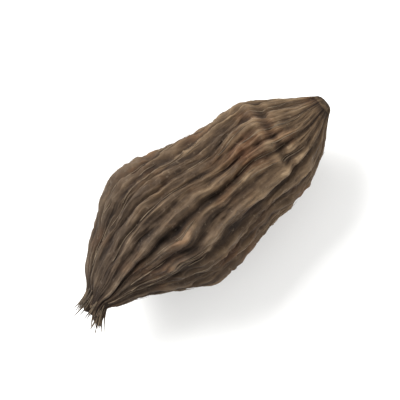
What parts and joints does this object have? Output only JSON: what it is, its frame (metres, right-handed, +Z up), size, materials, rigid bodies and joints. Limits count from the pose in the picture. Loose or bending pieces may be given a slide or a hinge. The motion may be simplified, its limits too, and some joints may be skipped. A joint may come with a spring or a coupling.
{
  "type": "black cardamom pod",
  "caption": "Dried black cardamom pod: ribbed dark brown husk with a torn calyx tube at one end and a rounded stalk end.",
  "frame": {"origin": "middle of the pod's footprint, on the surface that it lies on", "axes": "+X along the pod from the torn calyx to the stalk end, +Y across it, +Z up; the pod lies on its flatter side"},
  "size_m": [0.0268, 0.0126, 0.0116],
  "materials": {
    "husk": "dry, matt, dark brown plant husk with lighter rib crests"
  },
  "bodies": {
    "root": {"pod": "husk"}
  },
  "joints": []
}
